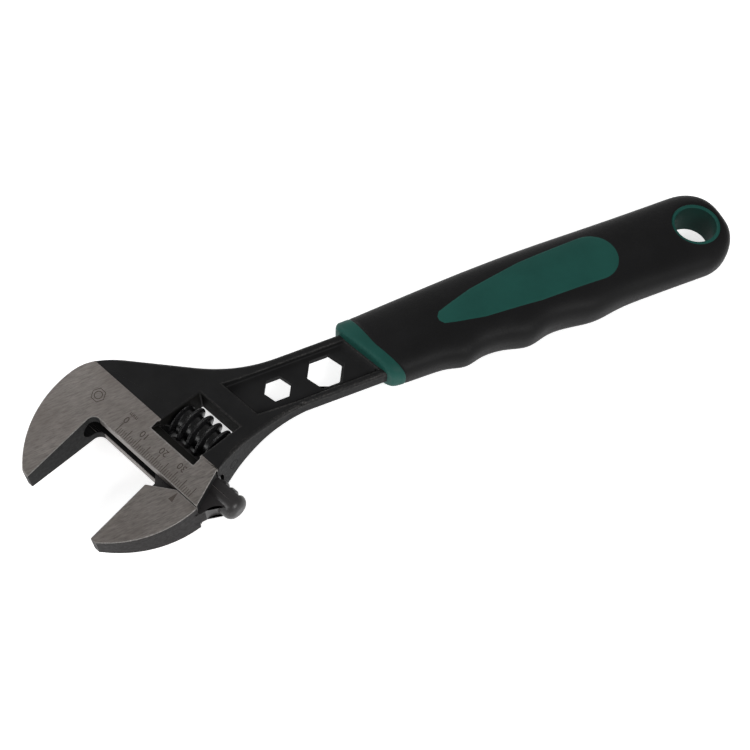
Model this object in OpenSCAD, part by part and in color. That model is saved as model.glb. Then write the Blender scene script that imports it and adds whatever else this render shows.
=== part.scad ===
// Adjustable wrench with box openings in the shank and a two-colour moulded grip.
// Origin: centre of the hanging hole at mid-thickness. +X runs along the handle
// toward the jaws, +Z is square to the broad face, +Y is the movable-jaw side.

/* [Part shown] */
// Sub-part to build

/* [Jaws] */
// Angle between the handle and the jaw faces, degrees
jaw_angle = 23.5; // [15:0.5:30]
// Opening between the jaw faces as drawn, mm
jaw_opening = 36; // [1:0.5:40]
// Length of the jaw faces beyond the slide face, mm
jaw_reach = 33.75; // [25:0.25:45]
// Thickness of both jaws at the tips, mm
tip_thickness = 9.6; // [7:0.1:14]
// Radius of the outer back of the fixed jaw, mm
fixed_back_radius = 42.8; // [36:0.5:50]
// Radius of the outer back of the movable jaw, mm
moving_back_radius = 45.6; // [40:0.1:52]

/* [Head] */
// Distance from the hanging hole to the zero line of the scale, mm
head_distance = 254.5; // [200:0.5:300]
// Sideways offset of the zero line of the scale, mm
head_offset = -5; // [-10:0.5:5]
// Greatest thickness of the head, mm
head_thickness = 21.8; // [16:0.2:26]
// Length of the slide face along the travel of the jaw, mm
slide_end = 45; // [40:0.5:50]
// Thickness of the slot that holds the jaw web, mm
slot_width = 8.6; // [5:0.1:10]
// Radius of the bore for the jaw bar, mm
bar_bore_radius = 6.3; // [5:0.05:8]
// Length of the worm window along the travel, mm
window_length = 22; // [18:0.5:28]
// Width of the worm window toward the handle, mm
window_width = 21.4; // [18:0.2:26]

/* [Adjusting screw] */
// Outside radius of the worm, mm
worm_radius = 8.6; // [6:0.05:10]
// Depth of the worm thread, mm
thread_depth = 2.8; // [1.5:0.05:3]
// Advance of the jaw for one turn of the worm, mm
worm_pitch = 4.75; // [3:0.05:6]
// Length of the worm, mm
worm_length = 20.2; // [16:0.1:24]
// Radius of the pin the worm turns on, mm
pin_radius = 2.25; // [1.5:0.05:3]
// Running clearance between the worm and its pin, mm
pin_clearance = 0.05; // [0.02:0.01:0.1]
// Radius of the spring wire, mm
spring_wire = 0.35; // [0.2:0.05:0.6]
// Turns of the worm spring
spring_turns = 6; // [3:1:10]

/* [Jaw bar] */
// Radius of the toothed bar, mm
bar_radius = 5.2; // [4.5:0.1:7]
// Length of the toothed bar, mm
bar_length = 41; // [36:0.2:48]
// Thickness of the web between the jaw and the bar, mm
web_thickness = 8; // [4:0.1:9]

/* [Shank] */
// Width of the shank, mm
shank_width = 24.9; // [18:0.1:30]
// Thickness of the shank at the rims, mm
shank_thickness = 7.4; // [6:0.2:12]
// Thickness of the web between the recessed panels, mm
panel_web = 2.7; // [2:0.1:6]
// Width of the recessed panels, mm
panel_width = 17.8; // [12:0.2:22]
// Distance across the flats of the small hexagon opening, mm
small_hex = 10.1; // [8:0.1:14]
// Distance across the flats of the large hexagon opening, mm
large_hex = 13.2; // [10:0.1:17]

/* [Grip] */
// Radius of the hanging hole, mm
hole_radius = 9; // [5:0.25:12]
// Wall thickness of the ring round the hanging hole, mm
ring_wall = 1.6; // [1:0.1:3]
// Thickness of the grip at the hanging hole, mm
grip_end_thickness = 17.2; // [12:0.2:22]
// Extra half thickness of the grip in the palm, mm
palm_swell = 2.6; // [0:0.1:5]
// Half width of the grip on its straight side, mm
grip_back = 19.7; // [14:0.1:24]
// Half width of the grip on its finger side at the hanging hole, mm
grip_front = 19.6; // [14:0.1:24]
// Squareness of the grip section
grip_squareness = 2.8; // [2:0.1:4]
// Width of the raised collar at the front of the grip, mm
collar_width = 5; // [4:0.5:14]

/* [Hidden] */

slide_face = 4.95;
fixed_face = -11.8;
moving_face = fixed_face + jaw_opening;
jaw_tip = slide_face + jaw_reach;
ground_edge = -10.5;
peak = head_thickness / 2;
tip_half = tip_thickness / 2;
rim_half = shank_thickness / 2;
shank_half = shank_width / 2;
bar_axis = -6.7;
bar_start = moving_face - 9.9;
slide_gap = 0.3;
worm_axis = -19.1;
worm_start = 11.2;
window_start = 9.9;
window_front = -8.8;
thread_front = moving_face - 6.825;
pin_start = 2;
pin_end = 38.2;
spring_start = window_start;
spring_end = 17.25;
counterbore_radius = 3.4;
collar_front = -87.7;
collar_back = collar_front - collar_width;
grip_tip = -15.55;
tang_half = 8.5;
tang_tip = 22;
collar_corner = 6.5;
collar_heel = 3;
core_half_width = 12;
core_half_height = 5.6;
ring_half = grip_end_thickness / 2 - 0.5;
steel_black = [0.16, 0.16, 0.17];
steel_bright = [0.5, 0.49, 0.47];
green = [0.1, 0.3, 0.27];
rubber_black = [0.12, 0.12, 0.12];

// Point of the plan given by its place along the jaw (w) and along the travel (s)
function head_point(w, s) = [
    head_distance + w * cos(jaw_angle) - s * sin(jaw_angle),
    head_offset + w * sin(jaw_angle) + s * cos(jaw_angle)
];
function arc(cx, cy, r, a0, a1, steps) =
    [for (i = [0:steps]) let (a = a0 + (a1 - a0) * i / steps) [cx + r * cos(a), cy + r * sin(a)]];
function to_plan(points) = [for (p = points) head_point(p[0], p[1])];
function bump(x, centre, spread) = exp(-pow((x - centre) / spread, 2));
function clamped(t) = max(0, min(1, t));

module head_frame() {
    translate([head_distance, head_offset, 0])
        rotate([0, 0, jaw_angle])
            children();
}

// Turns a shape drawn up +Z so that it runs along the travel of the jaw
module along_travel(w, s) {
    translate([w, s, 0])
        rotate([-90, 0, 0])
            children();
}

// Side profile of the forging, thick at the head and tapering to the tips and the shank
module side_profile() {
    upper = [
        [-240, rim_half], [-54, rim_half], [-48, rim_half + 0.2], [-42, rim_half + 0.7],
        [-36, rim_half + 1.5], [-31, rim_half + 2.6], [ground_edge, peak], [jaw_tip, tip_half],
        [jaw_tip + 6, tip_half - 0.75]
    ];
    lower = [for (i = [len(upper) - 1:-1:0]) [upper[i][0], -upper[i][1]]];
    head_frame()
        translate([0, 250, 0])
            rotate([90, 0, 0])
                linear_extrude(height = 500)
                    polygon(concat(upper, lower));
}

module body_outline() {
    heel = arc(0.75, -13.92, 17.93, -128.9, -98, 12);
    back = arc(4.2, 10.7, fixed_back_radius, -98, -37.5, 32);
    throat = arc(8.2, -8.55, 3.25, 270, 180, 10);
    polygon(concat(
        arc(tang_tip + tang_half, 0, tang_half, 90, 270, 12),
        [[140, -tang_half], [143, -shank_half]],
        arc(188.5, -shank_half - 69.55, 69.55, 90, 65, 16),
        arc(257.57, -4.25, 30.55, -115, -93, 12),
        to_plan(heel),
        to_plan(back),
        to_plan([[jaw_tip, -14], [jaw_tip, fixed_face]]),
        to_plan(throat),
        to_plan([[slide_face, slide_end], [-9.8, 40.7]]),
        arc(180, 91.16, 79.4, -51.5, -85.5, 24),
        [[143, shank_half], [140, tang_half]]
    ));
}

module panel_recess() {
    far = peak + 2;
    intersection() {
        translate([120, -panel_width / 2, -far])
            cube([120, panel_width, 2 * far]);
        head_frame()
            translate([0, 60, 0])
                rotate([90, 0, 0])
                    linear_extrude(height = 160)
                        polygon([
                            [-39.3, far], [-39.3, panel_web / 2], [-85.5, panel_web / 2],
                            [-88.2, rim_half + 0.05], [-88.2, far]
                        ]);
    }
}

module hex_opening(x, flats) {
    translate([x, 0, -peak])
        cylinder(h = 2 * peak, r = flats / sqrt(3), $fn = 6);
}

// Window for the worm, with a sloped lead-in on both faces
module worm_window() {
    far = peak + 2;
    head_frame() {
        translate([window_front - window_width, window_start, -far])
            cube([window_width, window_length, 2 * far]);
        for (side = [0, 1])
            mirror([0, 0, side])
                translate([0, window_start + window_length + 0.6, 0])
                    rotate([90, 0, 0])
                        linear_extrude(height = window_length + 1.2)
                            polygon([
                                [window_front - 0.5, peak - 3.2], [window_front, peak - 3.2],
                                [-5.2, peak - 0.6], [-3, peak + 1.1], [-3, far], [window_front - 0.5, far]
                            ]);
    }
}

module bar_passage() {
    head_frame() {
        along_travel(bar_axis, bar_start - jaw_opening - 1.4)
            cylinder(h = 80, r = bar_bore_radius, $fn = 64);
        translate([0, 0, -slot_width / 2])
            linear_extrude(height = slot_width)
                polygon([[bar_axis, -26], [-4, -23.4], [10, -11.5], [14, -11.5], [14, 60], [bar_axis, 60]]);
        along_travel(7, -17)
            cylinder(h = 8, r = 4.7, $fn = 48);
    }
}

module body() {
    color(steel_black)
        difference() {
            intersection() {
                translate([0, 0, -peak])
                    linear_extrude(height = 2 * peak)
                        body_outline();
                side_profile();
            }
            panel_recess();
            mirror([0, 0, 1])
                panel_recess();
            hex_opening(193.6, small_hex);
            hex_opening(173.3, large_hex);
            worm_window();
            bar_passage();
            head_frame()
                along_travel(worm_axis, pin_start)
                    cylinder(h = 60, r = pin_radius, $fn = 48);
        }
}

module jaw_outline() {
    back = arc(1.86, moving_face - 23.9, moving_back_radius, 85.5, 37.4, 28);
    polygon(concat(
        [[11.5, moving_face], [slide_face + slide_gap, moving_face + 10.6]],
        [[slide_face + slide_gap, moving_face + 21.6]],
        back,
        [[jaw_tip + 0.4, moving_face + 2.6], [jaw_tip + 0.4, moving_face]]
    ));
}

module jaw_web() {
    translate([0, 0, -web_thickness / 2])
        linear_extrude(height = web_thickness)
            polygon(concat(
                [[bar_axis, bar_start + 0.6], [-3, bar_start + 0.6]],
                [[8, moving_face + 0.6], [14, moving_face + 0.6], [14, moving_face + 19]],
                [[slide_face, moving_face + 22.2], [3, moving_face + 22.8]],
                arc(3, moving_face + 29.3, 6.5, 270, 200, 10),
                [[bar_axis, moving_face + 27]]
            ));
}

module bar_teeth() {
    lead = atan(worm_pitch / (2 * PI * (worm_radius - thread_depth / 2)));
    groove_floor = worm_axis + worm_radius + 0.3;
    for (i = [-1:7])
        translate([0, thread_front + i * worm_pitch, 0])
            rotate([lead, 0, 0])
                translate([0, 0, -10])
                    linear_extrude(height = 20)
                        polygon([
                            [groove_floor, -0.95], [groove_floor, 0.95],
                            [groove_floor - 4, 2.05], [groove_floor - 4, -2.05]
                        ]);
}

module movable_jaw() {
    color(steel_bright)
        intersection() {
            head_frame()
                union() {
                    translate([0, 0, -peak])
                        linear_extrude(height = 2 * peak)
                            jaw_outline();
                    jaw_web();
                    difference() {
                        along_travel(bar_axis, bar_start)
                            rotate_extrude($fn = 64)
                                polygon(concat(
                                    [[0, 0], [bar_radius - 1, 0], [bar_radius, 1]],
                                    arc(bar_radius - 3.4, bar_length - 3.4, 3.4, 0, 90, 10),
                                    [[0, bar_length]]
                                ));
                        bar_teeth();
                    }
                }
            side_profile();
        }
}

// Section of the worm thread across its axis, crest on the +X side
function thread_radius(turn) =
    let (t = abs(turn) * 2)
    worm_radius - thread_depth * clamped((t - 0.26) / 0.4);

module worm() {
    steps = 36;
    turns = worm_length / worm_pitch;
    crest_turn = (worm_start - thread_front) / worm_pitch;
    color(steel_black)
        head_frame()
            along_travel(worm_axis, worm_start)
                difference() {
                    rotate([0, 0, 360 * crest_turn])
                        linear_extrude(height = worm_length, twist = -360 * turns, slices = 84)
                            polygon([
                                for (i = [0:steps - 1])
                                    let (turn = i / steps - 0.5)
                                    thread_radius(turn) * [cos(360 * turn), sin(360 * turn)]
                            ]);
                    translate([0, 0, -1])
                        cylinder(h = worm_length + 2, r = pin_radius + pin_clearance, $fn = 48);
                    translate([0, 0, -1])
                        cylinder(h = spring_end - worm_start + 1.4, r = counterbore_radius, $fn = 48);
                }
}

module worm_pin() {
    color(steel_black)
        head_frame()
            along_travel(worm_axis, pin_start)
                cylinder(h = pin_end - pin_start, r = pin_radius, $fn = 48);
}

module worm_spring() {
    steps = 16 * spring_turns;
    ring = 8;
    coil = pin_radius + spring_wire + 0.1;
    rise = spring_end - spring_start - 2 * spring_wire;
    points = [
        for (k = [0:steps], i = [0:ring - 1])
            let (a = 360 * spring_turns * k / steps, b = 360 * i / ring, r = coil + spring_wire * cos(b))
            [r * cos(a), r * sin(a), rise * k / steps + spring_wire * sin(b)]
    ];
    color(steel_bright)
        head_frame()
            along_travel(worm_axis, spring_start + spring_wire + 0.05)
                polyhedron(points = points, faces = loft_faces(steps, ring));
}

// Faces of a run of closed rings with a cap at each end
function loft_faces(last, ring) = concat(
    [
        for (k = [0:last - 1], i = [0:ring - 1])
            let (a = k * ring + i, b = k * ring + (i + 1) % ring)
            each [[a, b, b + ring], [a, b + ring, a + ring]]
    ],
    [[for (i = [ring - 1:-1:0]) i], [for (i = [0:ring - 1]) last * ring + i]]
);

// Half widths and half thickness of the grip at a station along the handle
function end_round(x, start, power) =
    sqrt(1 - pow(clamped((start - x) / (start - grip_tip)), power));
function back_width(x) =
    (grip_back + 0.5 * bump(x, 85, 30) - 1.9 * pow(clamped((x - 105) / 48), 1.5)) * end_round(x, 3.1, 2.8);
function finger_ridges(x) = 2.1 * bump(x, 118.3, 6.3) + 2.85 * bump(x, 90.2, 8.3) + 2.1 * bump(x, 59, 11);
function finger_width(x) =
    (grip_front - 0.026 * (x - 8) + finger_ridges(x)) * end_round(x, 3.9, 1.87);
function half_height(x) =
    (grip_end_thickness / 2 + palm_swell * bump(x, 72, 42)) * end_round(x, -8, 3);
function bulge(c) = sign(c) * pow(abs(c), 2 / grip_squareness);
function grip_section(x, steps) = [
    for (i = [0:steps - 1])
        let (a = -360 * (i + 0.5) / steps, c = bulge(cos(a)))
        [x, c * (c > 0 ? finger_width(x) : back_width(x)), half_height(x) * bulge(sin(a))]
];

// Outer form of the whole grip, rounded at the hanging end
module grip_form() {
    ring = 32;
    ends = [for (a = [84:-12:0]) grip_tip + 17 * (1 - sin(a))];
    stations = concat(ends, [for (x = [4.5:4.5:171]) x]);
    points = [for (x = stations) each grip_section(x, ring)];
    polyhedron(points = points, faces = loft_faces(len(stations) - 1, ring));
}

module pad_outline() {
    hull() {
        translate([51, -1.3])
            circle(r = 11.3, $fn = 48);
        translate([80, -0.9])
            circle(r = 10.3, $fn = 48);
        translate([104, -0.4])
            circle(r = 7.4, $fn = 48);
        translate([119.6, 0])
            circle(r = 3.6, $fn = 48);
    }
}

module travel_band(from, to) {
    head_frame()
        translate([from, -60, -20])
            cube([to - from, 200, 40]);
}

// Collar at the front of the grip, square to the jaw direction, with rounded corners
module collar_block() {
    head_frame()
        translate([0, 0, -20])
            linear_extrude(height = 40)
                polygon(concat(
                    [[collar_back, 25]],
                    arc(collar_front - collar_corner, 25 + collar_corner, collar_corner, -50, 0, 6),
                    arc(collar_front - collar_heel, 60.5 - collar_heel, collar_heel, 0, 90, 6),
                    [[collar_back, 70]]
                ));
}

module pads_and_collar() {
    translate([0, 0, -20])
        linear_extrude(height = 40)
            pad_outline();
    collar_block();
}

module core_slab() {
    intersection() {
        translate([8, -core_half_width, -core_half_height])
            cube([160, 2 * core_half_width, 2 * core_half_height]);
        travel_band(-300, collar_back + 1);
    }
}

module ring_tube() {
    cylinder(h = 2 * ring_half, r = hole_radius + ring_wall, center = true, $fn = 96);
}

module tang_space() {
    intersection() {
        translate([0, 0, -peak])
            linear_extrude(height = 2 * peak)
                body_outline();
        side_profile();
    }
}

module grip_core() {
    color(green)
        difference() {
            intersection() {
                grip_form();
                union() {
                    pads_and_collar();
                    core_slab();
                    ring_tube();
                }
            }
            tang_space();
            cylinder(h = 60, r = hole_radius, center = true, $fn = 96);
        }
}

module grip_sleeve() {
    color(rubber_black)
        difference() {
            intersection() {
                grip_form();
                travel_band(-320, collar_back);
            }
            translate([0, 0, -20])
                linear_extrude(height = 40)
                    pad_outline();
            core_slab();
            tang_space();
            cylinder(h = 60, r = hole_radius + ring_wall, center = true, $fn = 96);
        }
}

body();
movable_jaw();
worm();
worm_pin();
worm_spring();
grip_core();
grip_sleeve();
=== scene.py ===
import math

import bmesh
import bpy
from mathutils import Matrix, Vector


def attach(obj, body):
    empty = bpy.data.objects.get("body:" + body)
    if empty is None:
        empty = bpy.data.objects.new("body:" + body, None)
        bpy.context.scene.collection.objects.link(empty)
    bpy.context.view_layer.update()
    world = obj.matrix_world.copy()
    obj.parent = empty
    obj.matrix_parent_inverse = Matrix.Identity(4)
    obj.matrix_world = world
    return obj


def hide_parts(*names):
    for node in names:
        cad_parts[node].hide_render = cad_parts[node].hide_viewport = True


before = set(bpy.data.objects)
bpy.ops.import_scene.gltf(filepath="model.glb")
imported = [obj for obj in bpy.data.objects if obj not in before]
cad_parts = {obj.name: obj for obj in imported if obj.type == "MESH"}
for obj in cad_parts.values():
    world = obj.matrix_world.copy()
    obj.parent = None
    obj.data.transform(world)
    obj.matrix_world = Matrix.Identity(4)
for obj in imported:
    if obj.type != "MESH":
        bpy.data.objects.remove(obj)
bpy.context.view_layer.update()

MM = 0.001
JAW = math.radians(23.5)
COS, SIN = math.cos(JAW), math.sin(JAW)
HEAD_X, HEAD_Y = 254.5, -5.0
TAPER = 0.12386
FACE_AT_ORIGIN = 9.6
SLIDE_FACE = 4.95
GROUND_EDGE = -10.5
WORM_AXIS = -19.1


# ---------- places on the wrench, in millimetres ----------

def plan(w, s, z=0.0):
    """Row-frame point from its place along the jaw (w) and along the travel (s)."""
    return Vector((HEAD_X + w * COS - s * SIN, HEAD_Y + w * SIN + s * COS, z))


def along_jaw(x, y):
    """The w of a row-frame point."""
    return (x - HEAD_X) * COS + (y - HEAD_Y) * SIN


def along_travel(x, y):
    """The s of a row-frame point."""
    return -(x - HEAD_X) * SIN + (y - HEAD_Y) * COS


def ground_height(w):
    """Height of the ground face above the middle plane."""
    return FACE_AT_ORIGIN - TAPER * w


def round_angles(count, start=0.0):
    return [2 * math.pi * (i + start) / count for i in range(count)]


def bump(x, centre, spread):
    return math.exp(-((x - centre) / spread) ** 2)


def clamp(t, low=0.0, high=1.0):
    return max(low, min(high, t))


def smooth(t):
    t = clamp(t)
    return t * t * (3 - 2 * t)


# ---------- shader helpers ----------

class Graph:
    """Small helper that adds and links shader nodes."""

    def __init__(self, name):
        self.material = bpy.data.materials.new(name)
        self.material.use_nodes = True
        self.tree = self.material.node_tree
        self.shader = next(n for n in self.tree.nodes if n.type == "BSDF_PRINCIPLED")

    def add(self, kind, **values):
        node = self.tree.nodes.new(kind)
        for key, value in values.items():
            setattr(node, key, value)
        return node

    def link(self, a, b):
        self.tree.links.new(a, b)

    def place(self, rotation=(0, 0, 0), scale=(1, 1, 1)):
        """Object coordinates, turned and scaled."""
        coords = self.add("ShaderNodeTexCoord")
        mapping = self.add("ShaderNodeMapping")
        mapping.inputs["Rotation"].default_value = rotation
        mapping.inputs["Scale"].default_value = scale
        self.link(coords.outputs["Object"], mapping.inputs["Vector"])
        return mapping.outputs["Vector"]

    def noise(self, vector, scale, detail=4.0, roughness=0.55):
        node = self.add("ShaderNodeTexNoise")
        node.inputs["Scale"].default_value = scale
        node.inputs["Detail"].default_value = detail
        node.inputs["Roughness"].default_value = roughness
        self.link(vector, node.inputs["Vector"])
        return node.outputs["Fac"]

    def ramp(self, value, stops):
        node = self.add("ShaderNodeValToRGB")
        elements = node.color_ramp.elements
        while len(elements) < len(stops):
            elements.new(0.5)
        for element, (position, colour) in zip(elements, stops):
            element.position = position
            element.color = (*colour, 1.0)
        self.link(value, node.inputs["Fac"])
        return node.outputs["Color"]

    def spread(self, value, low, high, start, end):
        """Maps value from start..end to low..high."""
        node = self.add("ShaderNodeMapRange")
        node.inputs["From Min"].default_value = start
        node.inputs["From Max"].default_value = end
        node.inputs["To Min"].default_value = low
        node.inputs["To Max"].default_value = high
        self.link(value, node.inputs["Value"])
        return node.outputs["Result"]

    def blend(self, factor, a, b):
        """Colour from a to b by factor; a and b are colours or sockets."""
        node = self.add("ShaderNodeMix", data_type="RGBA")
        self.link(factor, node.inputs[0])
        for socket, value in ((node.inputs[6], a), (node.inputs[7], b)):
            if isinstance(value, tuple):
                socket.default_value = (*value, 1.0)
            else:
                self.link(value, socket)
        return node.outputs[2]

    def relief(self, heights):
        """Chains bump nodes from (height, strength, distance) rows into the shader normal."""
        normal = None
        for height, strength, distance in heights:
            node = self.add("ShaderNodeBump")
            node.inputs["Strength"].default_value = strength
            node.inputs["Distance"].default_value = distance
            self.link(height, node.inputs["Height"])
            if normal is not None:
                self.link(normal, node.inputs["Normal"])
            normal = node.outputs["Normal"]
        self.link(normal, self.shader.inputs["Normal"])

    def set(self, **values):
        """Sets constant values on the shader's own sockets; underscores stand for spaces."""
        for key, value in values.items():
            self.shader.inputs[key.replace("_", " ")].default_value = value

    def colour(self, socket):
        self.link(socket, self.shader.inputs["Base Color"])

    def roughness(self, value, low, high, start, end):
        self.link(self.spread(value, low, high, start, end), self.shader.inputs["Roughness"])


def shaded(colour, factor):
    return tuple(min(1.0, c * factor) for c in colour)


def ground_steel(name, base=(0.186, 0.17, 0.158)):
    """Bare steel with grinding streaks along the jaw."""
    g = Graph(name)
    streaks = g.noise(g.place((0, 0, -JAW), (70, 620, 620)), 3.0, 8.0, 0.65)
    fine = g.noise(g.place((0, 0, -JAW), (150, 1500, 1500)), 2.0, 4.0, 0.6)
    cloud = g.noise(g.place(), 60.0, 4.0)
    light = shaded(base, 1.4)
    tone = g.ramp(streaks, [(0.34, shaded(base, 0.664)), (0.5, base), (0.68, light)])
    tone = g.blend(g.spread(fine, 0.0, 0.5, 0.35, 0.65), tone, light)
    stain = (base[0] * 0.8, base[1] * 0.76, base[2] * 0.74)
    g.colour(g.blend(g.spread(cloud, 0.0, 0.5, 0.45, 0.7), tone, stain))
    g.set(Metallic=0.8)
    g.roughness(streaks, 0.34, 0.56, 0.25, 0.75)
    g.relief([(streaks, 0.35, 0.00012), (fine, 0.3, 0.00008)])
    return g.material


def black_steel(name, base=(0.0128, 0.0128, 0.0131), rough=(0.42, 0.6), specular=0.06):
    """Black coating over forged steel."""
    g = Graph(name)
    cloud = g.noise(g.place(), 90.0, 5.0)
    pits = g.noise(g.place(), 800.0, 4.0)
    grain = g.noise(g.place(), 2600.0, 3.0)
    g.colour(g.ramp(cloud, [(0.3, shaded(base, 0.85)), (0.7, shaded(base, 1.2))]))
    g.set(Specular_IOR_Level=specular)
    g.roughness(pits, *rough, 0.3, 0.7)
    g.relief([(pits, 0.18, 0.0001), (grain, 0.22, 0.00005)])
    return g.material


def rubbed_and_lit_edge(name, base, rubbed, share=0.5, specular=0.4):
    """Coating rubbed thin in specks, for the rounded edges; the lighter specks are partly wear and partly
    a painted highlight along the edges.
    """
    g = Graph(name)
    specks = g.noise(g.place(), 1300.0, 6.0, 0.7)
    runs = g.noise(g.place(), 160.0, 3.0)
    mask = g.add("ShaderNodeMath", operation="MULTIPLY")
    g.link(g.spread(specks, 0.0, 1.0, 0.46, 0.66), mask.inputs[0])
    g.link(g.spread(runs, 0.15, share * 2, 0.35, 0.65), mask.inputs[1])
    mask.use_clamp = True
    # lighter specks: partly wear, partly painted highlight on the edges
    g.colour(g.blend(mask.outputs[0], base, rubbed))
    g.roughness(specks, 0.55, 0.36, 0.4, 0.7)
    g.set(Metallic=0.15, Specular_IOR_Level=specular)
    g.relief([(specks, 0.3, 0.00008)])
    return g.material


def glossy_black(name):
    """Smooth black finish of the worm, rubbed in fine specks."""
    g = Graph(name)
    base = (0.0055, 0.0055, 0.006)
    pits = g.noise(g.place(), 900.0, 4.0)
    grain = g.noise(g.place(), 3200.0, 3.0)
    tone = g.ramp(pits, [(0.3, shaded(base, 0.8)), (0.7, shaded(base, 1.3))])
    g.colour(g.blend(g.spread(grain, 0.0, 0.35, 0.55, 0.75), tone, (0.05, 0.048, 0.046)))
    g.set(Specular_IOR_Level=0.42)
    g.roughness(pits, 0.22, 0.38, 0.3, 0.7)
    g.relief([(pits, 0.2, 0.0001), (grain, 0.2, 0.00005)])
    return g.material


def green_plastic(name, base=(0.0112, 0.064, 0.0525)):
    g = Graph(name)
    cloud = g.noise(g.place(), 70.0, 3.0)
    grain = g.noise(g.place(), 2000.0, 4.0)
    g.colour(g.ramp(cloud, [(0.3, shaded(base, 0.92)), (0.7, shaded(base, 1.1))]))
    g.roughness(grain, 0.44, 0.6, 0.3, 0.7)
    g.set(Specular_IOR_Level=0.1)
    g.relief([(cloud, 0.1, 0.0004), (grain, 0.22, 0.00006)])
    return g.material


def black_elastomer(name):
    """Soft moulding with a fine leathery skin."""
    g = Graph(name)
    base = (0.0085, 0.0085, 0.0088)
    cloud = g.noise(g.place(), 60.0, 3.0)
    skin = g.add("ShaderNodeTexVoronoi")
    skin.inputs["Scale"].default_value = 1700.0
    g.link(g.place(), skin.inputs["Vector"])
    grain = g.noise(g.place(), 2200.0, 5.0, 0.7)
    g.colour(g.ramp(cloud, [(0.3, shaded(base, 0.85)), (0.7, shaded(base, 1.15))]))
    g.roughness(grain, 0.36, 0.6, 0.3, 0.7)
    g.set(Specular_IOR_Level=0.1)
    g.relief([
        (cloud, 0.1, 0.0004),
        (skin.outputs["Distance"], 0.35, 0.00014),
        (grain, 0.4, 0.00008),
    ])
    return g.material


def etched(name):
    """Dark bottom of the etched scale."""
    g = Graph(name)
    grain = g.noise(g.place(), 2200.0, 3.0)
    g.colour(g.ramp(grain, [(0.3, (0.03, 0.022, 0.017)), (0.7, (0.06, 0.045, 0.036))]))
    g.roughness(grain, 0.5, 0.7, 0.3, 0.7)
    g.relief([(grain, 0.2, 0.00005)])
    return g.material


def floor_paper(name):
    """Pale studio paper, lit a little from within so that it stays even."""
    g = Graph(name)
    grain = g.noise(g.place(), 900.0, 3.0)
    g.colour(g.ramp(grain, [(0.3, (0.9, 0.9, 0.9)), (0.7, (0.94, 0.94, 0.94))]))
    g.roughness(grain, 0.7, 0.85, 0.3, 0.7)
    g.set(Emission_Color=(1.0, 1.0, 1.0, 1.0), Emission_Strength=0.62)
    g.relief([(grain, 0.05, 0.0001)])
    return g.material


MATERIALS = {
    "black": black_steel("black_forging"),
    # edge materials for the rounded edges: lighter specks, partly wear and partly painted highlight
    "black_edge": rubbed_and_lit_edge(
        "black_forging_edge", (0.011, 0.011, 0.0112), (0.05, 0.047, 0.044), 0.4, 0.15
    ),
    "ground": ground_steel("ground_face"),
    "ground_edge": rubbed_and_lit_edge("ground_edge", (0.17, 0.158, 0.15), (0.42, 0.4, 0.38)),
    # darker, less glossy copy of the forging black for the walls inside the window: painted shade in the
    # opening
    "window": black_steel("window_walls_painted_shade", (0.0085, 0.0083, 0.0076), (0.5, 0.66), 0.03),
    "jaw_black": black_steel("jaw_black", (0.0125, 0.011, 0.0112), (0.42, 0.58), 0.08),
    # lighter black for the bar and web: partly worn blackening, partly a painted highlight on the bar
    "bar_black": black_steel("bar_black", (0.026, 0.0242, 0.0246), (0.26, 0.42), 0.34),
    "jaw_edge": rubbed_and_lit_edge("jaw_edge", (0.014, 0.0125, 0.0125), (0.08, 0.074, 0.07), 0.5, 0.3),
    "worm": glossy_black("worm_black"),
    "green": green_plastic("grip_green"),
    # darker copy of the green for the ring's bore: painted shade inside the hanging hole
    "green_bore_painted_shade": green_plastic("ring_bore_painted_shade", (0.002, 0.026, 0.02)),
    "rubber": black_elastomer("grip_rubber"),
    "mark": etched("etched_mark"),
    "wire": ground_steel("spring_wire", (0.3, 0.29, 0.28)),
}


# ---------- mesh helpers ----------

SAME_POINT = 1e-7


def make_object(name, mesh, materials, body="wrench"):
    obj = bpy.data.objects.new(name, mesh)
    bpy.context.scene.collection.objects.link(obj)
    for key in materials:
        mesh.materials.append(MATERIALS[key])
    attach(obj, body)
    return obj


def shade(mesh, angle):
    """Smooth shading, sharp where faces meet at more than angle degrees."""
    mesh.polygons.foreach_set("use_smooth", [True] * len(mesh.polygons))
    mesh.set_sharp_from_angle(angle=math.radians(angle))


def mesh_from(name, bm):
    mesh = bpy.data.meshes.new(name)
    bm.to_mesh(mesh)
    bm.free()
    return mesh


def grid_mesh(name, rows, capped=False):
    """Mesh from closed rows of points in millimetres, capped at both ends when asked."""
    count = len(rows[0])
    mesh = bpy.data.meshes.new(name)
    points = [tuple(c * MM for c in p) for row in rows for p in row]
    faces = []
    for k in range(len(rows) - 1):
        for i in range(count):
            j = (i + 1) % count
            faces.append((k * count + i, k * count + j, (k + 1) * count + j, (k + 1) * count + i))
    if capped:
        faces.append(tuple(reversed(range(count))))
        last = (len(rows) - 1) * count
        faces.append(tuple(range(last, last + count)))
    mesh.from_pydata(points, [], faces)
    mesh.update()
    bm = bmesh.new()
    bm.from_mesh(mesh)
    bmesh.ops.remove_doubles(bm, verts=bm.verts, dist=SAME_POINT)
    bmesh.ops.recalc_face_normals(bm, faces=bm.faces)
    bm.to_mesh(mesh)
    bm.free()
    return mesh


def evaluated_mesh(obj):
    """New mesh of an object with its modifiers applied."""
    bpy.context.view_layer.update()
    depsgraph = bpy.context.evaluated_depsgraph_get()
    return bpy.data.meshes.new_from_object(obj.evaluated_get(depsgraph))


def apply_modifiers(obj):
    done = evaluated_mesh(obj)
    obj.modifiers.clear()
    obj.data = done
    return done


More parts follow.
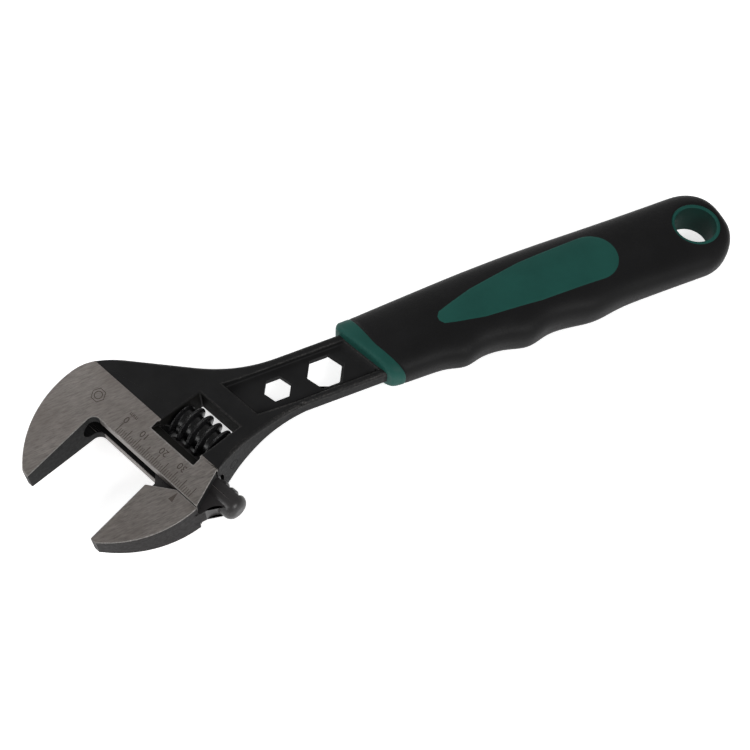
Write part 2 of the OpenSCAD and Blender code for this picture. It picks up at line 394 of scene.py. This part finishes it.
def cad_copy(node):
    """Welded copy of a CAD node's mesh with its flat faces made whole again."""
    bm = bmesh.new()
    bm.from_mesh(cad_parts[node].data)
    bmesh.ops.remove_doubles(bm, verts=bm.verts, dist=2e-6)
    flat = math.radians(0.6)
    bmesh.ops.dissolve_limit(bm, angle_limit=flat, verts=bm.verts, edges=bm.edges)
    return bm


def bevel_edges(bm, width_of, largest):
    """Stores a bevel weight on each corner edge from the width wanted there, in millimetres."""
    layer = bm.edges.layers.float.new("bevel_weight_edge")
    least_angle = math.radians(20)
    for edge in bm.edges:
        if len(edge.link_faces) != 2 or edge.calc_face_angle(0.0) < least_angle:
            continue
        middle = (edge.verts[0].co + edge.verts[1].co) / (2 * MM)
        edge[layer] = clamp(width_of(middle, edge) / largest)


def paint(bm, materials, paint_of):
    for face in bm.faces:
        face.material_index = materials.index(paint_of(face, face.calc_center_median() / MM))


def round_off(name, bm, width_of, largest, materials, repaint, body="wrench", segments=4):
    """Turns a welded CAD copy into a piece with rounded edges, whose new faces are repainted."""
    bevel_edges(bm, width_of, largest)
    mesh = mesh_from(name, bm)
    obj = make_object(name, mesh, materials, body)
    spare = len(materials)
    mesh.materials.append(MATERIALS[materials[0]])
    shade(mesh, 12)
    modifier = obj.modifiers.new("rounded_edges", "BEVEL")
    modifier.limit_method = "WEIGHT"
    modifier.width = largest * MM
    modifier.segments = segments
    modifier.use_clamp_overlap = False
    modifier.harden_normals = True
    modifier.material = spare
    done = apply_modifiers(obj)
    for polygon in done.polygons:
        if polygon.material_index == spare:
            polygon.material_index = materials.index(repaint(polygon.center / MM))
    done.materials.pop(index=spare)
    return obj


# ---------- body ----------

BODY_MATERIALS = ["black", "ground", "ground_edge", "window", "black_edge"]
SLOPE_UP = Vector((TAPER * COS, TAPER * SIN, 1)).normalized()
SLOPE_DOWN = Vector((TAPER * COS, TAPER * SIN, -1)).normalized()
TOWARD_JAW = Vector((COS, SIN, 0))
THROAT = -8
NECK = 36
RECESS_HALF_WIDTH = 9.3
RECESS_END = 216
WIDEST_EDGE = 1.5


def is_ground(face):
    return max(face.normal.dot(SLOPE_UP), face.normal.dot(SLOPE_DOWN)) > 0.9995


def near_ground(c):
    w = along_jaw(c.x, c.y)
    return w > GROUND_EDGE - 0.1 and abs(c.z) > ground_height(w) - 0.42


def in_window(w, s):
    return 8.6 < s < 33.2 and -32 < w < -4.4


def body_paint(face, c):
    w, s = along_jaw(c.x, c.y), along_travel(c.x, c.y)
    if is_ground(face) and w > GROUND_EDGE - 0.1:
        return "ground"
    if face.normal.dot(TOWARD_JAW) > 0.98 and abs(w - SLIDE_FACE) < 0.2 and s > THROAT:
        return "ground"
    # walls inside the window take the darker black, painted shade in the opening
    return "window" if in_window(w, s) and abs(face.normal.z) < 0.85 else "black"


def body_width(middle, edge):
    """Edge rounding wanted on the forging; it fades out towards the edge of the ground face."""
    w, s = along_jaw(middle.x, middle.y), along_travel(middle.x, middle.y)
    z = abs(middle.z)
    upright = all(abs(f.normal.z) < 0.3 for f in edge.link_faces)
    at_jaw_tip = w > 38 and z > 3 and s < -12.5
    at_pin_hole = math.hypot(w - WORM_AXIS, z) < 2.7 and s > 33
    at_hexagon = z < 1.4 and middle.x > 165 and abs(middle.y) < 8.7
    if any(is_ground(f) for f in edge.link_faces):
        return 0.6 if at_jaw_tip else 0.3
    if at_pin_hole:
        return 0.0
    if in_window(w, s):
        return 0.5 if upright else clamp(0.3 + 0.1 * (GROUND_EDGE - w), 0.3, 0.75)
    if s > NECK:
        if upright and w < -20:
            return 0.6
        return clamp(0.25 + 0.16 * (-13.5 - w), 0.25, WIDEST_EDGE)
    if w > -14 and z < 5:
        return 0.25
    if abs(middle.y) < RECESS_HALF_WIDTH and middle.x < RECESS_END:
        return 0.2 if at_hexagon else 0.8
    if upright:
        return 0.6
    return clamp(0.3 + 0.15 * (GROUND_EDGE - w), 0.3, WIDEST_EDGE)


def repaint_body(c):
    w, s = along_jaw(c.x, c.y), along_travel(c.x, c.y)
    on_recess_floor = abs(c.y) < RECESS_HALF_WIDTH and c.x < RECESS_END + 2 and abs(c.z) < 2.7
    on_slide_face = w > 0 and abs(w - SLIDE_FACE) < 0.4 and s > THROAT
    if on_recess_floor:
        return "black"
    return "ground_edge" if near_ground(c) or on_slide_face else "black_edge"


def on_window_rim(p):
    return in_window(along_jaw(p.x, p.y), along_travel(p.x, p.y)) and abs(p.z) > 4


def build_body():
    bm = cad_copy("body")
    rims = []
    for edge in bm.edges:
        a, b = (v.co / MM for v in edge.verts)
        if on_window_rim(a) and on_window_rim(b) and (a - b).length > 8:
            rims.append(edge)
    bmesh.ops.subdivide_edges(bm, edges=rims, cuts=9)
    bm.normal_update()
    paint(bm, BODY_MATERIALS, body_paint)
    obj = round_off("forging", bm, body_width, WIDEST_EDGE, BODY_MATERIALS, repaint_body)
    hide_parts("body")


# ---------- movable jaw ----------

JAW_MATERIALS = ["jaw_black", "ground", "ground_edge", "jaw_edge", "bar_black"]
TIP_STRIP = 38.5


def jaw_paint(face, c):
    w = along_jaw(c.x, c.y)
    if is_ground(face):
        return "ground"
    if w > TIP_STRIP + 0.1 and abs(face.normal.z) > 0.5:
        return "ground_edge"
    # the bar and the web take the lighter black, partly wear and partly a painted highlight
    return "bar_black" if w < 3 else "jaw_black"


def jaw_width(middle, edge):
    """Edge rounding wanted on the jaw, finer on the narrow strip at its tip."""
    w = along_jaw(middle.x, middle.y)
    if any(is_ground(f) for f in edge.link_faces):
        return 0.12 if w > TIP_STRIP else 0.3
    if w > TIP_STRIP - 0.2:
        return 0.15
    return 0.3 if w > 4 else 0.2


def repaint_jaw(c):
    w = along_jaw(c.x, c.y)
    if w > 5 and abs(c.z) > ground_height(w) - 0.9:
        return "ground_edge"
    beside_bar = -4.6 < w < -2.4 and abs(c.z) > 3.7
    return "bar_black" if beside_bar else "jaw_edge"


def build_jaw():
    bm = cad_copy("movable_jaw")
    bm.normal_update()
    paint(bm, JAW_MATERIALS, jaw_paint)
    obj = round_off("sliding_jaw", bm, jaw_width, 0.8, JAW_MATERIALS, repaint_jaw, "jaw", 3)
    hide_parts("movable_jaw")


# ---------- worm ----------

WORM_START, WORM_LENGTH = 11.2, 20.2
WORM_RADIUS, THREAD_DEPTH = 8.58, 2.55
WORM_BORE = 2.4
PITCH = 4.75
THREAD_FRONT = 17.375
BACKLASH = 0.35
KNURL_NOTCHES, KNURL_DEPTH = 96, 0.26


def worm_point(r, a, s):
    """Point at radius r and angle a about the worm's axis."""
    return plan(WORM_AXIS + r * math.cos(a), s, r * math.sin(a))


def build_worm():
    angles = round_angles(KNURL_NOTCHES * 4)
    steps = 150
    rows = []
    for k in range(steps + 1):
        s = WORM_START + WORM_LENGTH * k / steps
        trim = 0.7 * (1 - smooth(min(k, steps - k) / 4))
        row = []
        for a in angles:
            phase = (s + BACKLASH - THREAD_FRONT) / PITCH + a / (2 * math.pi)
            phase -= round(phase)
            crest = 1 - smooth((2 * abs(phase) - 0.08) / 0.56)
            knurl = KNURL_DEPTH * (0.5 - 0.5 * math.cos(a * KNURL_NOTCHES))
            r = WORM_RADIUS - THREAD_DEPTH * (1 - crest)
            r -= knurl * smooth((crest - 0.8) / 0.2) + trim * crest
            row.append(worm_point(r, a, s))
        rows.append(row)
    for s in (WORM_START + WORM_LENGTH, WORM_START):
        rows.append([worm_point(WORM_BORE, a, s) for a in angles])
    rows.append(list(rows[0]))
    mesh = grid_mesh("knurled_worm", rows)
    obj = make_object("knurled_worm", mesh, ["worm"], "adjuster")
    shade(mesh, 50)
    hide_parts("worm")


# ---------- pin and spring ----------

PIN_RADIUS, PIN_START = 2.25, 2.0
HEAD_EDGE_CENTRE, HEAD_EDGE_RADIUS = Vector((180.0, 91.16, 0.0)), 79.4


def head_edge(w):
    """Place along the travel where a line parallel to the worm meets the hollow edge."""
    low, high = PIN_START + 34, PIN_START + 40
    for _ in range(30):
        s = (low + high) / 2
        if (plan(w, s) - HEAD_EDGE_CENTRE).length > HEAD_EDGE_RADIUS:
            low = s
        else:
            high = s
    return low


def build_pin():
    """Pin with its end dressed flush with the hollow edge of the head."""
    angles = round_angles(48)
    chamfer = ((0.4, 0.0), (0.85, 0.0), (1.0, 0.35), (1.0, 28.0))
    rows = [[worm_point(PIN_RADIUS * share, a, PIN_START + s) for a in angles] for share, s in chamfer]
    for share, sunk in ((1.0, 0.15), (0.93, 0.03), (0.5, 0.03)):
        r = PIN_RADIUS * share
        rows.append([worm_point(r, a, head_edge(WORM_AXIS + r * math.cos(a)) - sunk) for a in angles])
    mesh = grid_mesh("pressed_pin", rows, capped=True)
    obj = make_object("pressed_pin", mesh, ["black"])
    shade(mesh, 40)
    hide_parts("worm_pin")


def build_spring():
    wire, coil, turns, start, rise = 0.35, 2.7, 6, 10.3, 6.65
    per_turn = 28
    steps = turns * per_turn
    rows = []
    for k in range(steps + 1):
        a = 2 * math.pi * k / per_turn
        thick = wire * (1 - 0.5 * (1 - smooth(min(k, steps - k) / 2)))
        middle = start + rise * k / steps
        rows.append([
            worm_point(coil + thick * math.cos(b), a, middle + thick * math.sin(b))
            for b in round_angles(12)
        ])
    mesh = grid_mesh("coil_spring", rows, capped=True)
    obj = make_object("coil_spring", mesh, ["wire"])
    shade(mesh, 60)
    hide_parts("worm_spring")


# ---------- grip ----------

END = -15.55
SQUARENESS = 2.8
HOLE_RADIUS, RING_RADIUS = 9.0, 10.6


def end_round(x, start, power):
    """Share of the full size left on the way from start to the end of the handle."""
    return math.sqrt(max(0.0, 1 - clamp((start - x) / (start - END)) ** power))


def back_width(x):
    side = 19.7 + 0.5 * bump(x, 85, 30) - 1.9 * clamp((x - 105) / 48) ** 1.5
    return side * end_round(x, 3.1, 2.8)


def finger_width(x):
    side = 19.6 - 0.026 * (x - 8) + 2.1 * bump(x, 118.3, 6.3) + 2.85 * bump(x, 90.2, 8.3)
    return (side + 2.1 * bump(x, 59, 11)) * end_round(x, 3.9, 1.87)


def half_height(x):
    return (8.6 + 2.6 * bump(x, 72, 42)) * end_round(x, -8, 3)


def form_point(x, angle, inset=0.0):
    """Point on the grip's form, whose sections are rounded squares."""
    c, d = math.cos(angle), math.sin(angle)
    bulge = math.copysign(abs(c) ** (2 / SQUARENESS), c)
    rise = math.copysign(abs(d) ** (2 / SQUARENESS), d)
    wide = finger_width(x) if bulge > 0 else back_width(x)
    high = half_height(x)
    return Vector((x, bulge * max(0.0, wide - inset), rise * max(0.0, high - inset)))


def form_top(x, y):
    """Height of the grip's form above the middle plane."""
    wide = finger_width(x) if y > 0 else back_width(x)
    return half_height(x) * max(0.0, 1 - (abs(y) / wide) ** SQUARENESS) ** (1 / SQUARENESS)


COLLAR_FRONT = -87.75
COLLAR_SEAM = -92.2


def corner_drop(distance, radius):
    """How far a rounded corner falls back at a distance past its start."""
    return radius - math.sqrt(max(0.0, radius ** 2 - max(0.0, distance) ** 2))


def collar_front(s):
    """Place along the jaw of the collar's front, rounded at both corners."""
    back_corner = corner_drop(31.5 - s, 6.5)
    finger_corner = min(1.6, corner_drop(s - 58.5, 3.5))
    return COLLAR_FRONT - back_corner - finger_corner


def collar_seam(s):
    """Place along the jaw of the seam between the collar and the soft cover."""
    d = max(0.0, 47 - s)
    return COLLAR_SEAM - 0.19 * d * d / (d + 2)


def meet(curve, y_of, shift=0.0):
    """Station where a line along the handle meets a curve given in the head's own axes."""
    low, high = 138.0, 172.0
    for _ in range(26):
        x = (low + high) / 2
        y = y_of(x)
        if along_jaw(x, y) < curve(along_travel(x, y)) + shift:
            low = x
        else:
            high = x
    return (low + high) / 2


def surface_station(curve, angle, inset=0.0, shift=0.0):
    return meet(curve, lambda x: form_point(x, angle, inset).y, shift)


def cut_ring_space(obj):
    """Cuts the room for the ring of the hanging hole."""
    bm = bmesh.new()
    radius = RING_RADIUS * MM
    bmesh.ops.create_cone(bm, cap_ends=True, segments=128, radius1=radius, radius2=radius, depth=60 * MM)
    cutter = bpy.data.objects.new("ring_space", mesh_from("ring_space", bm))
    bpy.context.scene.collection.objects.link(cutter)
    cut = obj.modifiers.new("ring_space", "BOOLEAN")
    cut.operation = "DIFFERENCE"
    cut.solver = "EXACT"
    cut.object = cutter
    done = apply_modifiers(obj)
    bpy.data.objects.remove(cutter)
    return done


def build_sleeve():
    angles = round_angles(144, 0.5)
    fronts = [surface_station(collar_seam, a) for a in angles]
    end_length, end_share, lip_share = 18.0, 0.12, 0.992
    dip_width, dip = 2.2, 0.035
    steps = 330
    rows = []
    for k in range(1, steps + 1):
        t = k / steps
        lip = 0.35 * smooth((t - lip_share) / (1 - lip_share))
        row = []
        for a, front in zip(angles, fronts):
            if t < end_share:
                x = END + end_length * (1 - math.cos(t / end_share * math.pi / 2))
            else:
                straight = front - END - end_length
                x = END + end_length + straight * (t - end_share) / (1 - end_share)
            p = form_point(min(x, front), a, lip)
            off_ring = math.hypot(p.x, p.y) - RING_RADIUS
            if off_ring < dip_width:
                p.z *= 1 - dip * (1 - clamp(off_ring / dip_width)) ** 2
            row.append(p)
        rows.append(row)
    mesh = grid_mesh("grip_cover", rows, capped=True)
    obj = make_object("grip_cover", mesh, ["rubber"])
    shade(cut_ring_space(obj), 40)
    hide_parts("grip_sleeve")


PAD_CIRCLES = [(51.0, -1.3, 11.3), (80.0, -0.9, 10.3), (104.0, -0.4, 7.4), (119.6, 0.0, 3.6)]
PAD_CENTRE = Vector((72.0, -1.0))
PAD_RISE, PAD_ROUNDING = 0.14, 0.5


def pad_chain():
    """Circles that together fill the outline of a pad."""
    per_pair = 24
    chain = []
    for (x0, y0, r0), (x1, y1, r1) in zip(PAD_CIRCLES, PAD_CIRCLES[1:]):
        for i in range(per_pair):
            t = i / per_pair
            chain.append((x0 + (x1 - x0) * t, y0 + (y1 - y0) * t, r0 + (r1 - r0) * t))
    chain.append(PAD_CIRCLES[-1])
    return chain


def pad_border():
    """Outermost point of the circles in each direction from the pad's centre."""
    chain = pad_chain()
    border = []
    for a in round_angles(160):
        direction = Vector((math.cos(a), math.sin(a)))
        reach = 0.0
        for x, y, r in chain:
            offset = Vector((x, y)) - PAD_CENTRE
            along = offset.dot(direction)
            off = offset.length_squared - along * along
            if off < r * r:
                reach = max(reach, along + math.sqrt(r * r - off))
        border.append(PAD_CENTRE + direction * reach)
    return border


def build_pads():
    """A pad on each broad face, crowned with the grip and rooted in it all round."""
    border = pad_border()
    rings, root_rings = 26, 2
    for side, name in ((1, "grip_pad_front"), (-1, "grip_pad_back")):
        rows = []
        for k in range(rings + root_rings + 1):
            share = min(1.0, (k + 0.02) / rings)
            row = []
            for p in border:
                q = PAD_CENTRE + (p - PAD_CENTRE) * share
                lift = PAD_RISE * (1 - (1 - clamp((p - q).length / PAD_ROUNDING)) ** 2)
                if k > rings:
                    lift = -0.5 * (k - rings)
                row.append(Vector((q.x, q.y, side * (form_top(q.x, q.y) + lift))))
            rows.append(row)
        mesh = grid_mesh(name, rows, capped=True)
        obj = make_object(name, mesh, ["green"])
        shade(mesh, 40)


def build_collar():
    """Seam edge, rounded front rim, then the flat front closing in on the shank."""
    angles = round_angles(160, 0.5)
    round_over = 2.0
    rows = []
    for shift, inset in ((-0.8, 0.6), (0.0, 0.04), (0.25, 0.0)):
        rows.append([form_point(surface_station(collar_seam, a, inset, shift), a, inset) for a in angles])
    steps = 10
    for k in range(steps + 1):
        turn = math.pi / 2 * k / steps
        shift = round_over * (math.sin(turn) - 1)
        inset = round_over * (1 - math.cos(turn))
        row = []
        for a in angles:
            least = surface_station(collar_seam, a) + 0.4 + 0.16 * k
            x = max(least, surface_station(collar_front, a, inset, shift))
            row.append(form_point(x, a, inset))
        rows.append(row)
    rim = rows[-1]
    for share in (0.85, 0.7, 0.5, 0.3):
        row = []
        for p in rim:
            y = p.y * share
            row.append(Vector((meet(collar_front, lambda x, y=y: y), y, p.z * share)))
        rows.append(row)
    mesh = grid_mesh("grip_collar", rows, capped=True)
    obj = make_object("grip_collar", mesh, ["green"])
    shade(mesh, 40)


def build_ring():
    """Ring through the hanging hole, with both of its rims rounded."""
    top, inner_round, outer_round = 8.1, 0.6, 0.4
    quarter = [math.pi / 2 * k / 6 for k in range(7)]
    profile = [(HOLE_RADIUS, 0.0), (HOLE_RADIUS, top - 0.7)]
    for a in quarter:
        r = HOLE_RADIUS + inner_round * (1 - math.cos(a))
        profile.append((r, top - inner_round * (1 - math.sin(a))))
    for a in quarter:
        r = RING_RADIUS - outer_round * (1 - math.sin(a))
        profile.append((r, top - outer_round * (1 - math.cos(a))))
    profile.append((RING_RADIUS, 0.0))
    profile += [(r, -z) for r, z in reversed(profile[1:-1])]
    profile.append((HOLE_RADIUS, 0.0))
    angles = round_angles(160)
    rows = [[Vector((r * math.cos(a), r * math.sin(a), z)) for a in angles] for r, z in profile]
    mesh = grid_mesh("hanging_ring", rows)
    materials = ["green", "green_bore_painted_shade"]
    obj = make_object("hanging_ring", mesh, materials)
    # faces of the bore take the darker green, painted shade inside the hole
    for polygon in mesh.polygons:
        if math.hypot(polygon.center.x, polygon.center.y) < (HOLE_RADIUS + 0.02) * MM:
            polygon.material_index = materials.index("green_bore_painted_shade")
    shade(mesh, 40)
    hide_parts("grip_core")


# ---------- scale, numerals and arrow ----------

MARK_LIFT, MARK_HEIGHT = 0.012, 0.02


def mark_matrix(w, s):
    """Frame of a mark on the ground face: X against the travel, Y along the jaw, Z out of the face."""
    right = Vector((SIN, -COS, 0))
    m = Matrix((right, SLOPE_UP.cross(right), SLOPE_UP)).transposed().to_4x4()
    m.translation = (plan(w, s, ground_height(w)) + SLOPE_UP * MARK_LIFT) * MM
    return m


def add_prism(bm, outline, matrix):
    low, high = (
        [bm.verts.new(matrix @ Vector((x * MM, y * MM, z * MM))) for x, y in outline]
        for z in (0, MARK_HEIGHT)
    )
    bm.faces.new(high)
    bm.faces.new(list(reversed(low)))
    for i in range(len(outline)):
        j = (i + 1) % len(outline)
        bm.faces.new((low[i], low[j], high[j], high[i]))


def add_outline(bm, sides, outer, inner, matrix):
    """Regular outline drawn as one flat bar for each side."""
    corners = [Vector((math.cos(a), math.sin(a))) for a in round_angles(sides)]
    for p, q in zip(corners, corners[1:] + corners[:1]):
        add_prism(bm, [p * outer, q * outer, q * inner, p * inner], matrix)


def make_mark(name, bm, body="wrench"):
    bmesh.ops.recalc_face_normals(bm, faces=bm.faces)
    make_object(name, mesh_from(name, bm), ["mark"], body)


def build_scale():
    """Ticks of the scale and a plain nut outline, then the arrow on the jaw."""
    last_value, tick_end = 40, 4.4
    bm = bmesh.new()
    for value in range(last_value + 1):
        long = value % 5 == 0
        start = 0.0 if long else 2.0
        half = 0.14 if long else 0.11
        end = tick_end - start
        add_prism(bm, [(-half, 0), (half, 0), (half, end), (-half, end)], mark_matrix(start, value))
    nut = mark_matrix(-1.5, -16)
    add_outline(bm, 6, 3.1, 2.79, nut)
    add_outline(bm, 24, 1.75, 1.45, nut)
    make_mark("scale_marks", bm)

    bm = bmesh.new()
    add_prism(bm, [(0, 0), (-1.0, 4.1), (1.15, 4.1)], mark_matrix(5.7, 36.0))
    make_mark("arrow_mark", bm, "jaw")


def build_numerals():
    digits, unit = 3.9, 2.7
    for text, w, s, size in (
        ("0", -1.7, 0.0, digits),
        ("10", -1.8, 9.9, digits),
        ("20", -2.0, 20.4, digits),
        ("30", -2.2, 30.0, digits),
        ("mm", -4.4, 0.9, unit),
    ):
        name = "numeral_" + text
        curve = bpy.data.curves.new(name, "FONT")
        curve.body = text
        curve.size = size * MM
        curve.align_x = "CENTER"
        curve.align_y = "CENTER"
        curve.extrude = 0.012 * MM
        curve.resolution_u = 6
        source = bpy.data.objects.new("numeral_source", curve)
        bpy.context.scene.collection.objects.link(source)
        outline = evaluated_mesh(source)
        bpy.data.objects.remove(source)
        bm = bmesh.new()
        bm.from_mesh(outline)
        bmesh.ops.remove_doubles(bm, verts=bm.verts, dist=SAME_POINT)
        mesh = mesh_from(name, bm)
        mesh.transform(mark_matrix(w, s))
        make_object(name, mesh, ["mark"])


# ---------- studio ----------

CAMERA_PLACE = (0.26695, 0.2229, 0.42489)
CAMERA_TURN = (29.54, -1.832, 155.616)
MIDDLE = Vector((0.14, 0.0, 0.0))
FLOOR_HEIGHT = -0.0115
SKY_LEVELS = ((0.0, 0.75), (0.3, 0.46), (0.65, 0.25), (1.0, 0.23))
LAMP_SIZE = 0.5
LAMPS = (
    ("finger_side", (-0.1, 0.85, 0.75), 6.5),
    ("head_side", (1.15, 0.05, 0.5), 3.6),
    ("back_side", (0.45, -0.95, 0.55), 5.5),
)


def build_floor():
    bm = bmesh.new()
    bmesh.ops.create_grid(bm, x_segments=8, y_segments=8, size=3.0)
    mesh = mesh_from("studio_floor", bm)
    mesh.materials.append(floor_paper("paper"))
    floor = bpy.data.objects.new("studio_floor", mesh)
    floor.location = (MIDDLE.x, MIDDLE.y, FLOOR_HEIGHT)
    bpy.context.scene.collection.objects.link(floor)


def build_sky():
    """Soft surround, brightest at the sides and dimmer overhead."""
    world = bpy.data.worlds.new("studio")
    bpy.context.scene.world = world
    world.use_nodes = True
    tree = world.node_tree
    background = tree.nodes["Background"]
    coords = tree.nodes.new("ShaderNodeTexCoord")
    parts = tree.nodes.new("ShaderNodeSeparateXYZ")
    ramp = tree.nodes.new("ShaderNodeValToRGB")
    tree.links.new(coords.outputs["Generated"], parts.inputs[0])
    tree.links.new(parts.outputs["Z"], ramp.inputs["Fac"])
    tree.links.new(ramp.outputs["Color"], background.inputs["Color"])
    elements = ramp.color_ramp.elements
    while len(elements) < len(SKY_LEVELS):
        elements.new(0.5)
    for element, (height, level) in zip(elements, SKY_LEVELS):
        element.position = height
        element.color = (level, level, level, 1.0)
    background.inputs["Strength"].default_value = 1.0


def build_lamps():
    for name, place, power in LAMPS:
        data = bpy.data.lights.new(name, "AREA")
        data.shape = "SQUARE"
        data.size = LAMP_SIZE
        data.energy = power
        lamp = bpy.data.objects.new(name, data)
        lamp.location = place
        aim = MIDDLE - Vector(place)
        lamp.rotation_euler = aim.to_track_quat("-Z", "Y").to_euler()
        bpy.context.scene.collection.objects.link(lamp)


def build_camera():
    data = bpy.data.cameras.new("camera")
    data.lens = 58.29
    data.sensor_width = 36.0
    data.clip_start = 0.01
    camera = bpy.data.objects.new("camera", data)
    camera.location = CAMERA_PLACE
    camera.rotation_euler = [math.radians(angle) for angle in CAMERA_TURN]
    bpy.context.scene.collection.objects.link(camera)
    bpy.context.scene.camera = camera


build_body()
build_jaw()
build_worm()
build_pin()
build_spring()
build_sleeve()
build_ring()
build_pads()
build_collar()
build_scale()
build_numerals()
build_floor()
build_sky()
build_lamps()
build_camera()
bpy.context.scene.view_settings.view_transform = "Standard"

bpy.context.view_layer.update()
